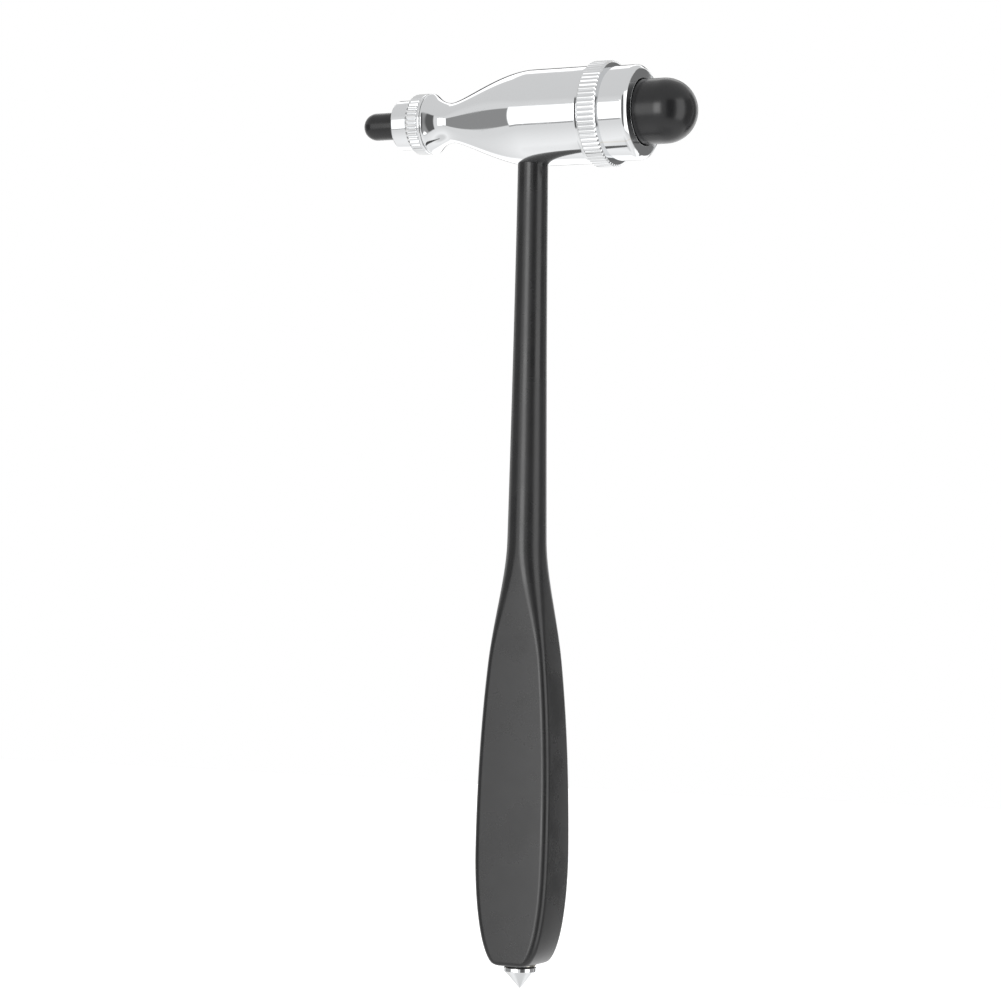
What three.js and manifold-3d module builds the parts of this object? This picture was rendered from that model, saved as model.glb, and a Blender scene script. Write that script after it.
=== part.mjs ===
// Reflex hammer: a turned metal head with a large and a small rubber mallet, on a moulded handle.
// Both end caps unscrew from the head, the small one carries a brush that is stored in the barrel,
// and the pointed tip unscrews from the foot of the handle.
// Millimetres, +Z up along the handle, +X along the head towards the large mallet.
// The origin is on the handle's axis, in the middle of the grip.

import * as THREE from 'three';
import { mergeVertices } from 'three/addons/utils/BufferGeometryUtils.js';
import Module from 'manifold-3d';

const wasm = await Module();
wasm.setup();

// ---------------------------------------------------------------- driving dimensions
// Heights are above the point of the tip. Stations along the head are measured from the handle's axis.

const OVERALL_HEIGHT = 240;
const GRIP_CENTRE_HEIGHT = 40;

const SEAT_GAP = 0.05; // between pieces that are clamped face to face
const THREAD_CLEARANCE = 0.1; // radial, between a thread and its nut, both drawn as plain cylinders
const PRESS_CLEARANCE = 0.05; // radial, between a pressed or moulded-in piece and its hole
const SADDLE_GAP = 0.3; // between the top of the handle and the underside of the barrel

// head barrel
const BARREL_FRONT = 18.3; // from the handle's axis to the shoulder that the large cap screws up to
const SHOULDER_MARGIN = 0.65; // radial, that the barrel's shoulder stands beyond the large washer
const TAPER_STATION = 1; // where the cylinder turns into the taper
const TAPER_LENGTH = 24.7; // from the start of the taper to the waist
const FLARE_LENGTH = 6.2; // from the waist to the small end's seam
const FLARE_EDGE = 0.5; // rounding of the flare's outer edge
const FLARE_RIM_EASE = 0.08; // share of a curve's length that keeps close to its end's radius
const FLARE_WAIST_EASE = 0.6;
const WAIST_EASE = 0.15;
const SHOULDER_EASE = 0.37;
const SHOULDER_CHAMFER = 1; // along the head, on the edge beside the large cap

// large end
const LARGE_MALLET_RADIUS = 8.4;
const LARGE_MALLET_REACH = 14.2; // beyond the face of the nose
const MALLET_FLANGE_WIDTH = 1.6; // radial
const MALLET_FLANGE_THICKNESS = 2.4;
const MALLET_GAP = 0.35; // radial, between the mallet and the lip that it comes out of
const BACKING_DISC_THICKNESS = 0.9;
const LARGE_SPIGOT_LENGTH = 5.8;
const LARGE_WASHER_WIDTH = 1.8; // radial
const LARGE_WASHER_THICKNESS = 0.8;
const NOSE_WALL = 2.1; // radial, round the nut's thread
const NOSE_BEVEL = 1.1;
const LIP_THICKNESS = 4.1; // along the head, in front of the mallet's flange
const LARGE_RING_STEP = 1.5; // radial, from the nose up to the knurled ring
const LARGE_RING_WIDTH = 5.2;
const LARGE_RING_TEETH = 66;
const TOOTH_DEPTH = 0.3;
const RING_CHAMFER = 0.3;

// brush inside the barrel
const FERRULE_RADIUS = 2.4;
const FERRULE_LENGTH = 10;
const FERRULE_SOCKET_DEPTH = 2.6;
const FERRULE_WALL = 0.35;
const FERRULE_CUP_DEPTH = 2.5;
const TUFT_LENGTH = 16.5; // bristles that show beyond the ferrule
const TUFT_SPREAD = 0.5; // radial, that the tuft's end stands beyond the ferrule
const BRUSH_CLEARANCE = 0.5; // radial, between the brush and its bore
const BRUSH_BORE_SPARE = 4; // beyond the end of the bristles

// small end
const WAIST_WALL = 1.8; // radial, round the brush's bore
const SMALL_SPIGOT_WALL = 2.8; // radial, round the brush's bore
const SMALL_SPIGOT_LENGTH = 2.8;
const SEAM_RING_THICKNESS = 0.7;
const SMALL_SEAL_THICKNESS = 0.8;
const SMALL_RING_WALL = 1.7; // radial, round the nut's thread
const SMALL_RING_TEETH = 40;
const CAP_WEB = 0.8; // between the floor of the nut and the front of its knurled ring
const COLLAR_STEP = 1.5; // radial, from the knurled ring down to the collar
const COLLAR_CHAMFER = 0.4;
const SOCKET_WALL = 0.7; // between the ferrule's socket and the mallet's stem hole
const SMALL_MALLET_RADIUS = 3.6;
const SMALL_MALLET_REACH = 10.7; // beyond the face of the collar
const SMALL_MALLET_RECESS = 0.8;
const SMALL_STEM_INSET = 1.4; // radial, from the mallet in to its stem
const SMALL_STEM_LENGTH = 1.6;

// handle
const GRIP_WIDTH = 21.2; // along X, at its widest
const GRIP_THICKNESS = 15; // along Y
const GRIP_EDGE_RADIUS = 2;
const GRIP_FLAT_TOP = 33; // the broad faces are flat and parallel up to here
const GRIP_WIDEST_HEIGHT = 39;
const GRIP_SHOULDER_HEIGHT = 117; // where the grip has narrowed to the shaft
const GRIP_SHOULDER_EASE = 0.2; // share of the length that keeps close to the shaft's width
const GRIP_BELLY_EASE = 0.6; // share that keeps close to the full width
const EDGE_OPENING_HEIGHT = 84; // where the tight edges start to open into the round shaft
const FOOT_EDGE_RADIUS = 1;
const FOOT_FLAT_WIDTH = 8;
const FOOT_FULLNESS = 2.4; // 2 would make the foot's outline an ellipse
const SHAFT_DIAMETER_BOTTOM = 10.2;
const SHAFT_DIAMETER_TOP = 7.8;
const SHAFT_TAPER_POWER = 1.5;
const CORE_ROD_RADIUS = 2.2;
const CORE_ROD_BOTTOM_HEIGHT = 60;
const CORE_ROD_THREAD_END = 2; // from the head's axis to the top of the rod

// pointed tip and its insert
const TIP_RADIUS = 4.25;
const TIP_CONE_HEIGHT = 4.4;
const TIP_POINT_RADIUS = 0.25;
const TIP_RIM_HEIGHT = 1;
const TIP_WASHER_THICKNESS = 0.4;
const TIP_WASHER_RADIUS = 3.7;
const TIP_STUD_RADIUS = 1.5;
const TIP_STUD_LENGTH = 6;
const INSERT_FLANGE_RADIUS = 4.2;
const INSERT_FLANGE_THICKNESS = 0.3;
const INSERT_BODY_RADIUS = 3;
const INSERT_LENGTH = 9;
const INSERT_BORE_DEPTH = 7.2;

// how finely the curved surfaces are divided
const ROUND_SIDES = 40;
const INNER_SIDES = 24;
const EDGE_COLUMNS = 8;
const FLARE_STEPS = 6;
const TAPER_STEPS = 11;
const DOME_STEPS = 9;
const FOOT_STEPS = 8;
const GRIP_STEPS = 10;
const SHAFT_STEPS = 5;

// ---------------------------------------------------------------- sizes that follow

const LARGE_SPIGOT_RADIUS = LARGE_MALLET_RADIUS + MALLET_FLANGE_WIDTH;
const LARGE_NUT_RADIUS = LARGE_SPIGOT_RADIUS + THREAD_CLEARANCE;
const LARGE_WASHER_RADIUS = LARGE_NUT_RADIUS + LARGE_WASHER_WIDTH;
const BARREL_RADIUS = LARGE_WASHER_RADIUS + SHOULDER_MARGIN;
const NOSE_RADIUS = LARGE_NUT_RADIUS + NOSE_WALL;
const LARGE_RING_RADIUS = NOSE_RADIUS + LARGE_RING_STEP;

const LARGE_SPIGOT_END = BARREL_FRONT + LARGE_SPIGOT_LENGTH;
const LARGE_CAP_REAR = BARREL_FRONT + SEAT_GAP;
const DISC_REAR = LARGE_SPIGOT_END + SEAT_GAP;
const FLANGE_REAR = DISC_REAR + BACKING_DISC_THICKNESS + SEAT_GAP;
const LIP_REAR = FLANGE_REAR + MALLET_FLANGE_THICKNESS + SEAT_GAP;
const NOSE_FACE = LIP_REAR + LIP_THICKNESS;

const BRUSH_BORE_RADIUS = FERRULE_RADIUS + TUFT_SPREAD + BRUSH_CLEARANCE;
const WAIST_RADIUS = BRUSH_BORE_RADIUS + WAIST_WALL;
const SMALL_SPIGOT_RADIUS = BRUSH_BORE_RADIUS + SMALL_SPIGOT_WALL;
const SMALL_NUT_RADIUS = SMALL_SPIGOT_RADIUS + THREAD_CLEARANCE;
const FLARE_RADIUS = SMALL_NUT_RADIUS + SMALL_RING_WALL;
const COLLAR_RADIUS = FLARE_RADIUS - COLLAR_STEP;
const SMALL_STEM_RADIUS = SMALL_MALLET_RADIUS - SMALL_STEM_INSET;

const WAIST_STATION = TAPER_STATION - TAPER_LENGTH;
const SEAM_STATION = WAIST_STATION - FLARE_LENGTH;
const SMALL_SPIGOT_END = SEAM_STATION - SMALL_SPIGOT_LENGTH;
const SEAM_RING_FRONT = SEAM_STATION - SEAT_GAP - SEAM_RING_THICKNESS;
const SMALL_CAP_REAR = SEAM_RING_FRONT - SEAT_GAP;
const SEAL_REAR = SMALL_SPIGOT_END - SEAT_GAP;
const SMALL_CAP_FLOOR = SEAL_REAR - SMALL_SEAL_THICKNESS - SEAT_GAP;
const SMALL_RING_FRONT = SMALL_CAP_FLOOR - CAP_WEB;
const FERRULE_SEAT = SMALL_CAP_FLOOR - FERRULE_SOCKET_DEPTH;
const FERRULE_MOUTH = FERRULE_SEAT + FERRULE_LENGTH;
const TUFT_END = FERRULE_MOUTH + TUFT_LENGTH;
const STEM_HOLE_FLOOR = FERRULE_SEAT - SEAT_GAP - SOCKET_WALL;
const RECESS_FLOOR = STEM_HOLE_FLOOR - SEAT_GAP - SMALL_STEM_LENGTH;
const COLLAR_FACE = RECESS_FLOOR - SMALL_MALLET_RECESS;

const HEAD_AXIS_HEIGHT = OVERALL_HEIGHT - LARGE_RING_RADIUS;
const TIP_WASHER_BOTTOM = TIP_CONE_HEIGHT + TIP_RIM_HEIGHT + SEAT_GAP;
const INSERT_SEAT_HEIGHT = TIP_WASHER_BOTTOM + TIP_WASHER_THICKNESS + SEAT_GAP + INSERT_FLANGE_THICKNESS;
const GRIP_BOTTOM_HEIGHT = INSERT_SEAT_HEIGHT + SEAT_GAP;

// ---------------------------------------------------------------- materials

const finishes = {
  chrome: { color: 0xd6d8da, roughness: 0.06, metalness: 1 },
  plastic: { color: 0x1b1b1c, roughness: 0.42, metalness: 0 },
  rubber: { color: 0x121213, roughness: 0.6, metalness: 0 },
  steel: { color: 0xa9acaf, roughness: 0.35, metalness: 1 },
  brass: { color: 0xc2a765, roughness: 0.3, metalness: 1 },
  seal: { color: 0x26262a, roughness: 0.75, metalness: 0 },
  nylon: { color: 0xe9e6dc, roughness: 0.5, metalness: 0 },
};

// ---------------------------------------------------------------- shape helpers

// A closed mesh whose corners are shared, holding positions only.
function weld(geometry) {
  const bare = geometry.clone();
  bare.deleteAttribute('normal');
  bare.deleteAttribute('uv');
  return mergeVertices(bare, 1e-4);
}

function toSolid(geometry) {
  const welded = weld(geometry);
  return new wasm.Manifold(new wasm.Mesh({
    numProp: 3,
    vertProperties: new Float32Array(welded.attributes.position.array),
    triVerts: new Uint32Array(welded.index.array),
  }));
}

function fromSolid(solid) {
  const { vertProperties, triVerts } = solid.getMesh();
  const geometry = new THREE.BufferGeometry();
  geometry.setAttribute('position', new THREE.BufferAttribute(vertProperties, 3));
  geometry.setIndex(new THREE.BufferAttribute(triVerts, 1));
  return geometry;
}

// Cuts each of the tools out of a body.
function cut(body, ...tools) {
  const solid = tools.reduce((rest, tool) => rest.subtract(toSolid(tool)), toSolid(body));
  const geometry = fromSolid(solid);
  geometry.computeVertexNormals();
  return geometry;
}

// A piece turned round an upright axis, from [radius, height] pairs that run anticlockwise.
function turnedUpright(outline, sides = ROUND_SIDES) {
  return new THREE.LatheGeometry(outline.map(([r, h]) => new THREE.Vector2(r, h)), sides);
}

// The same, turned round the head's axis: the pairs are [radius, station].
function turnedHead(outline, sides = ROUND_SIDES) {
  return turnedUpright(outline, sides).rotateZ(-Math.PI / 2).translate(0, 0, HEAD_AXIS_HEIGHT);
}

// The upright direction of a lathe is Y: this stands it on Z.
function stand(geometry) {
  return geometry.rotateX(Math.PI / 2);
}

// A round hole's tool, upright between two heights, wide enough to clear a pin of this radius.
function holeTool(radius, bottom, top) {
  return stand(turnedUpright([[0, bottom], [radius, bottom], [radius, top], [0, top]], INNER_SIDES));
}

// Lowers every second column of the surface at the ring's radius, which leaves straight teeth.
function knurl(outline, teeth, ringRadius, toothDepth) {
  const geometry = turnedUpright(outline, 2 * teeth);
  const position = geometry.attributes.position;
  const rows = outline.length;
  for (let i = 0; i < position.count; i += 1) {
    const column = Math.floor(i / rows) % (2 * teeth);
    const radius = Math.hypot(position.getX(i), position.getZ(i));
    if (column % 2 === 1 && radius > ringRadius - toothDepth / 2) {
      const scale = (radius - toothDepth) / radius;
      position.setX(i, position.getX(i) * scale);
      position.setZ(i, position.getZ(i) * scale);
    }
  }
  return geometry.rotateZ(-Math.PI / 2).translate(0, 0, HEAD_AXIS_HEIGHT);
}

// Points on a quarter circle about [radius, station], from one angle to another in degrees.
function arc(centreRadius, centreStation, r, fromDegrees, toDegrees, steps) {
  return Array.from({ length: steps + 1 }, (_, i) => {
    const angle = THREE.MathUtils.degToRad(fromDegrees + ((toDegrees - fromDegrees) * i) / steps);
    return [centreRadius + r * Math.cos(angle), centreStation + r * Math.sin(angle)];
  });
}

// Points on a cubic curve between two [radius, station] ends that leaves and arrives along the axis.
function sweep([r0, s0], [r1, s1], leave, arrive, steps) {
  const curve = new THREE.CubicBezierCurve(
    new THREE.Vector2(r0, s0),
    new THREE.Vector2(r0, s0 + leave * (s1 - s0)),
    new THREE.Vector2(r1, s1 - arrive * (s1 - s0)),
    new THREE.Vector2(r1, s1),
  );
  return curve.getPoints(steps).map((p) => [p.x, p.y]);
}

// ---------------------------------------------------------------- head

// The barrel is turned from bar: a threaded spigot at each end, a blind bore for the brush in the
// small end, and a tapped hole in its underside for the handle's rod.
function headBarrel() {
  const boreFloor = TUFT_END + BRUSH_BORE_SPARE;
  const seam = [FLARE_RADIUS, SEAM_STATION + FLARE_EDGE];
  const waist = [WAIST_RADIUS, WAIST_STATION];
  const flare = sweep(seam, waist, FLARE_RIM_EASE, FLARE_WAIST_EASE, FLARE_STEPS);
  const taper = sweep(waist, [BARREL_RADIUS, TAPER_STATION], WAIST_EASE, SHOULDER_EASE, TAPER_STEPS);
  const outline = [
    [0, boreFloor],
    [BRUSH_BORE_RADIUS, boreFloor],
    [BRUSH_BORE_RADIUS, SMALL_SPIGOT_END],
    [SMALL_SPIGOT_RADIUS, SMALL_SPIGOT_END],
    [SMALL_SPIGOT_RADIUS, SEAM_STATION],
    [FLARE_RADIUS - FLARE_EDGE, SEAM_STATION],
    ...flare,
    ...taper.slice(1),
    [BARREL_RADIUS, BARREL_FRONT - SHOULDER_CHAMFER],
    [LARGE_WASHER_RADIUS + SEAT_GAP, BARREL_FRONT],
    [LARGE_SPIGOT_RADIUS, BARREL_FRONT],
    [LARGE_SPIGOT_RADIUS, LARGE_SPIGOT_END],
    [0, LARGE_SPIGOT_END],
  ];
  const tappedHole = holeTool(
    CORE_ROD_RADIUS + THREAD_CLEARANCE,
    HEAD_AXIS_HEIGHT - 2 * BARREL_RADIUS,
    HEAD_AXIS_HEIGHT - CORE_ROD_THREAD_END + SEAT_GAP,
  );
  return cut(turnedHead(outline), tappedHole);
}

// A union nut: its ring is knurled for the fingers, and its lip holds the mallet by the flange.
function largeCap() {
  const ringFront = LARGE_CAP_REAR + LARGE_RING_WIDTH;
  const washerSeat = LARGE_CAP_REAR + LARGE_WASHER_THICKNESS + SEAT_GAP;
  const lipRadius = LARGE_MALLET_RADIUS + MALLET_GAP;
  const outline = [
    [lipRadius, NOSE_FACE],
    [lipRadius, LIP_REAR],
    [LARGE_NUT_RADIUS, LIP_REAR],
    [LARGE_NUT_RADIUS, washerSeat],
    [LARGE_WASHER_RADIUS + PRESS_CLEARANCE, washerSeat],
    [LARGE_WASHER_RADIUS + PRESS_CLEARANCE, LARGE_CAP_REAR],
    [LARGE_RING_RADIUS - TOOTH_DEPTH - RING_CHAMFER, LARGE_CAP_REAR],
    [LARGE_RING_RADIUS, LARGE_CAP_REAR + RING_CHAMFER],
    [LARGE_RING_RADIUS, ringFront - RING_CHAMFER],
    [LARGE_RING_RADIUS - TOOTH_DEPTH - RING_CHAMFER, ringFront],
    [NOSE_RADIUS, ringFront],
    [NOSE_RADIUS, NOSE_FACE - NOSE_BEVEL],
    [NOSE_RADIUS - NOSE_BEVEL, NOSE_FACE],
    [lipRadius, NOSE_FACE],
  ];
  return knurl(outline, LARGE_RING_TEETH, LARGE_RING_RADIUS, TOOTH_DEPTH);
}

function largeWasher() {
  const front = LARGE_CAP_REAR + LARGE_WASHER_THICKNESS;
  return turnedHead([
    [LARGE_NUT_RADIUS, front],
    [LARGE_NUT_RADIUS, LARGE_CAP_REAR],
    [LARGE_WASHER_RADIUS, LARGE_CAP_REAR],
    [LARGE_WASHER_RADIUS, front],
    [LARGE_NUT_RADIUS, front],
  ]);
}

function largeBackingDisc() {
  const front = DISC_REAR + BACKING_DISC_THICKNESS;
  return turnedHead([
    [0, DISC_REAR],
    [LARGE_SPIGOT_RADIUS, DISC_REAR],
    [LARGE_SPIGOT_RADIUS, front],
    [0, front],
  ]);
}

// Moulded rubber with a domed end and a flange that the cap's lip clamps on the backing disc.
function largeMallet() {
  const flangeRadius = LARGE_MALLET_RADIUS + MALLET_FLANGE_WIDTH;
  const flangeFront = FLANGE_REAR + MALLET_FLANGE_THICKNESS;
  const domeCentre = NOSE_FACE + LARGE_MALLET_REACH - LARGE_MALLET_RADIUS;
  return turnedHead([
    [0, FLANGE_REAR],
    [flangeRadius, FLANGE_REAR],
    [flangeRadius, flangeFront],
    [LARGE_MALLET_RADIUS, flangeFront],
    ...arc(0, domeCentre, LARGE_MALLET_RADIUS, 0, 90, DOME_STEPS).slice(0, -1),
    [0, domeCentre + LARGE_MALLET_RADIUS],
  ]);
}

function smallSeamRing() {
  const rear = SEAM_STATION - SEAT_GAP;
  return turnedHead([
    [SMALL_NUT_RADIUS, rear],
    [SMALL_NUT_RADIUS, SEAM_RING_FRONT],
    [FLARE_RADIUS, SEAM_RING_FRONT],
    [FLARE_RADIUS, rear],
    [SMALL_NUT_RADIUS, rear],
  ]);
}

function smallSeal() {
  const front = SEAL_REAR - SMALL_SEAL_THICKNESS;
  return turnedHead([
    [BRUSH_BORE_RADIUS, SEAL_REAR],
    [BRUSH_BORE_RADIUS, front],
    [SMALL_SPIGOT_RADIUS, front],
    [SMALL_SPIGOT_RADIUS, SEAL_REAR],
    [BRUSH_BORE_RADIUS, SEAL_REAR],
  ]);
}

// A nut with a knurled ring and a plain collar: a socket for the ferrule inside, and a recess and
// a stem hole for the small mallet outside.
function smallCap() {
  const socketRadius = FERRULE_RADIUS + PRESS_CLEARANCE;
  const stemHoleRadius = SMALL_STEM_RADIUS + PRESS_CLEARANCE;
  const recessRadius = SMALL_MALLET_RADIUS + MALLET_GAP / 2;
  const outline = [
    [0, STEM_HOLE_FLOOR],
    [stemHoleRadius, STEM_HOLE_FLOOR],
    [stemHoleRadius, RECESS_FLOOR],
    [recessRadius, RECESS_FLOOR],
    [recessRadius, COLLAR_FACE],
    [COLLAR_RADIUS - COLLAR_CHAMFER, COLLAR_FACE],
    [COLLAR_RADIUS, COLLAR_FACE + COLLAR_CHAMFER],
    [COLLAR_RADIUS, SMALL_RING_FRONT],
    [FLARE_RADIUS - TOOTH_DEPTH - RING_CHAMFER, SMALL_RING_FRONT],
    [FLARE_RADIUS, SMALL_RING_FRONT + RING_CHAMFER],
    [FLARE_RADIUS, SMALL_CAP_REAR - RING_CHAMFER],
    [FLARE_RADIUS - TOOTH_DEPTH - RING_CHAMFER, SMALL_CAP_REAR],
    [SMALL_NUT_RADIUS, SMALL_CAP_REAR],
    [SMALL_NUT_RADIUS, SMALL_CAP_FLOOR],
    [socketRadius, SMALL_CAP_FLOOR],
    [socketRadius, FERRULE_SEAT - SEAT_GAP],
    [0, FERRULE_SEAT - SEAT_GAP],
  ];
  return knurl(outline, SMALL_RING_TEETH, FLARE_RADIUS, TOOTH_DEPTH);
}

function smallMallet() {
  const shoulder = RECESS_FLOOR - SEAT_GAP;
  const stemEnd = shoulder + SMALL_STEM_LENGTH;
  const domeCentre = COLLAR_FACE - SMALL_MALLET_REACH + SMALL_MALLET_RADIUS;
  return turnedHead([
    [0, domeCentre - SMALL_MALLET_RADIUS],
    ...arc(0, domeCentre, SMALL_MALLET_RADIUS, -90, 0, DOME_STEPS - 2).slice(1),
    [SMALL_MALLET_RADIUS, shoulder],
    [SMALL_STEM_RADIUS, shoulder],
    [SMALL_STEM_RADIUS, stemEnd],
    [0, stemEnd],
  ], INNER_SIDES);
}

// A pressed metal cup that grips the roots of the bristles.
function brushFerrule() {
  const cupRadius = FERRULE_RADIUS - FERRULE_WALL;
  return turnedHead([
    [0, FERRULE_SEAT],
    [FERRULE_RADIUS, FERRULE_SEAT],
    [FERRULE_RADIUS, FERRULE_MOUTH],
    [cupRadius, FERRULE_MOUTH],
    [cupRadius, FERRULE_MOUTH - FERRULE_CUP_DEPTH],
    [0, FERRULE_MOUTH - FERRULE_CUP_DEPTH],
  ], INNER_SIDES);
}

// The bristles as one tuft that spreads towards its rounded end.
function brushBristles() {
  const root = FERRULE_MOUTH - FERRULE_CUP_DEPTH + SEAT_GAP;
  const rootRadius = FERRULE_RADIUS - FERRULE_WALL - PRESS_CLEARANCE;
  const endRadius = FERRULE_RADIUS + TUFT_SPREAD;
  const edge = endRadius / 4;
  return turnedHead([
    [0, root],
    [rootRadius, root],
    [rootRadius, FERRULE_MOUTH],
    ...arc(endRadius - edge, TUFT_END - edge, edge, 0, 90, 3),
    [0, TUFT_END],
  ], INNER_SIDES);
}

// ---------------------------------------------------------------- handle

// The shaft narrows towards the head, quickly at first.
function shaftDiameter(height) {
  const rise = (height - GRIP_SHOULDER_HEIGHT) / (HEAD_AXIS_HEIGHT - GRIP_SHOULDER_HEIGHT);
  return SHAFT_DIAMETER_TOP + (SHAFT_DIAMETER_BOTTOM - SHAFT_DIAMETER_TOP) * (1 - rise) ** SHAFT_TAPER_POWER;
}

// Thickness along Y: flat broad faces, then an even taper to the shaft. The foot's edge is rounded.
function handleThickness(height) {
  if (height >= GRIP_SHOULDER_HEIGHT) return shaftDiameter(height);
  const rise = (height - GRIP_FLAT_TOP) / (GRIP_SHOULDER_HEIGHT - GRIP_FLAT_TOP);
  const taper = (GRIP_THICKNESS - SHAFT_DIAMETER_BOTTOM) * Math.max(rise, 0);
  const aboveFoot = height - GRIP_BOTTOM_HEIGHT;
  const intoEdge = THREE.MathUtils.clamp(FOOT_EDGE_RADIUS - aboveFoot, 0, FOOT_EDGE_RADIUS);
  const rounding = FOOT_EDGE_RADIUS - Math.sqrt(FOOT_EDGE_RADIUS ** 2 - intoEdge ** 2);
  return GRIP_THICKNESS - taper - 2 * rounding;
}

// The long edges are tight on the grip and open out until the section is round at the shaft.
function handleEdgeRadius(height, width, thickness) {
  const opening = THREE.MathUtils.smoothstep(height, EDGE_OPENING_HEIGHT, GRIP_SHOULDER_HEIGHT);
  return THREE.MathUtils.lerp(GRIP_EDGE_RADIUS, Math.min(width, thickness) / 2, opening);
}

// [height, width] pairs from the foot up to inside the barrel.
function handleOutline() {
  const footDepth = GRIP_WIDEST_HEIGHT - GRIP_BOTTOM_HEIGHT;
  const foot = arc(0, 0, 1, 90, 0, FOOT_STEPS).map(([, down]) => [
    GRIP_WIDEST_HEIGHT - footDepth * down,
    FOOT_FLAT_WIDTH + (GRIP_WIDTH - FOOT_FLAT_WIDTH) * Math.sqrt(1 - down ** FOOT_FULLNESS),
  ]);
  const waisted = sweep(
    [SHAFT_DIAMETER_BOTTOM, GRIP_SHOULDER_HEIGHT],
    [GRIP_WIDTH, GRIP_WIDEST_HEIGHT],
    GRIP_SHOULDER_EASE,
    GRIP_BELLY_EASE,
    GRIP_STEPS,
  ).map(([width, height]) => [height, width]).reverse();
  const shaftTop = HEAD_AXIS_HEIGHT - BARREL_RADIUS / 2;
  const shaft = Array.from({ length: SHAFT_STEPS }, (_, i) => {
    const height = THREE.MathUtils.lerp(GRIP_SHOULDER_HEIGHT, shaftTop, (i + 1) / SHAFT_STEPS);
    return [height, shaftDiameter(height)];
  });
  return [...foot, ...waisted.slice(1), ...shaft];
}

// A point of a rounded rectangle: the columns are shared out evenly over the four corner arcs, so
// each flat side is a single facet.
function sectionPoint(column, width, thickness, edge) {
  const quadrant = Math.floor(column / EDGE_COLUMNS);
  const along = (column % EDGE_COLUMNS) / (EDGE_COLUMNS - 1);
  const angle = (quadrant + along) * (Math.PI / 2);
  const middle = (quadrant + 0.5) * (Math.PI / 2);
  return [
    Math.sign(Math.cos(middle)) * (width / 2 - edge) + edge * Math.cos(angle),
    Math.sign(Math.sin(middle)) * (thickness / 2 - edge) + edge * Math.sin(angle),
  ];
}

// The handle's outer skin: a closed tube of sections with a fan at each end.
function handleSkin() {
  const outline = handleOutline();
  const columns = 4 * EDGE_COLUMNS;
  const vertices = [];
  const faces = [];
  for (const [height, width] of outline) {
    const thickness = handleThickness(height);
    const edge = handleEdgeRadius(height, width, thickness);
    for (let column = 0; column < columns; column += 1) {
      vertices.push(...sectionPoint(column, width, thickness, edge), height);
    }
  }
  for (let row = 0; row < outline.length - 1; row += 1) {
    for (let column = 0; column < columns; column += 1) {
      const next = (column + 1) % columns;
      const [a, b] = [row * columns + column, row * columns + next];
      faces.push(a, b, b + columns, a, b + columns, a + columns);
    }
  }
  const bottomCentre = vertices.length / 3;
  vertices.push(0, 0, outline[0][0], 0, 0, outline[outline.length - 1][0]);
  const lastRow = (outline.length - 1) * columns;
  for (let column = 0; column < columns; column += 1) {
    const next = (column + 1) % columns;
    faces.push(bottomCentre, next, column);
    faces.push(bottomCentre + 1, lastRow + column, lastRow + next);
  }
  const geometry = new THREE.BufferGeometry();
  geometry.setAttribute('position', new THREE.Float32BufferAttribute(vertices, 3));
  geometry.setIndex(faces);
  return geometry;
}

// Moulded round the core rod. Its top is hollowed to sit under the barrel, and its foot takes the
// threaded insert.
function handleGrip() {
  const saddle = turnedHead([
    [0, -BARREL_FRONT],
    [BARREL_RADIUS + SADDLE_GAP, -BARREL_FRONT],
    [BARREL_RADIUS + SADDLE_GAP, BARREL_FRONT],
    [0, BARREL_FRONT],
  ], 2 * ROUND_SIDES);
  const rodHole = holeTool(
    CORE_ROD_RADIUS + PRESS_CLEARANCE,
    CORE_ROD_BOTTOM_HEIGHT - SEAT_GAP,
    HEAD_AXIS_HEIGHT,
  );
  const insertHole = holeTool(
    INSERT_BODY_RADIUS + PRESS_CLEARANCE,
    0,
    INSERT_SEAT_HEIGHT + INSERT_LENGTH + SEAT_GAP,
  );
  return cut(handleSkin(), saddle, rodHole, insertHole);
}

// A steel rod that stiffens the shaft and screws into the barrel.
function coreRod() {
  const top = HEAD_AXIS_HEIGHT - CORE_ROD_THREAD_END;
  return stand(turnedUpright([
    [0, CORE_ROD_BOTTOM_HEIGHT],
    [CORE_ROD_RADIUS, CORE_ROD_BOTTOM_HEIGHT],
    [CORE_ROD_RADIUS, top],
    [0, top],
  ], INNER_SIDES));
}

// ---------------------------------------------------------------- pointed tip

// A brass bush moulded into the foot, with a flange that shows as a thin ring.
function tipInsert() {
  const flangeBottom = INSERT_SEAT_HEIGHT - INSERT_FLANGE_THICKNESS;
  const boreRadius = TIP_STUD_RADIUS + THREAD_CLEARANCE;
  const boreTop = flangeBottom + INSERT_BORE_DEPTH;
  const top = INSERT_SEAT_HEIGHT + INSERT_LENGTH;
  return stand(turnedUpright([
    [0, boreTop],
    [boreRadius, boreTop],
    [boreRadius, flangeBottom],
    [INSERT_FLANGE_RADIUS, flangeBottom],
    [INSERT_FLANGE_RADIUS, INSERT_SEAT_HEIGHT],
    [INSERT_BODY_RADIUS, INSERT_SEAT_HEIGHT],
    [INSERT_BODY_RADIUS, top],
    [0, top],
  ], INNER_SIDES));
}

function tipWasher() {
  const inner = TIP_STUD_RADIUS + THREAD_CLEARANCE;
  const top = TIP_WASHER_BOTTOM + TIP_WASHER_THICKNESS;
  return stand(turnedUpright([
    [inner, top],
    [inner, TIP_WASHER_BOTTOM],
    [TIP_WASHER_RADIUS, TIP_WASHER_BOTTOM],
    [TIP_WASHER_RADIUS, top],
    [inner, top],
  ], INNER_SIDES));
}

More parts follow.
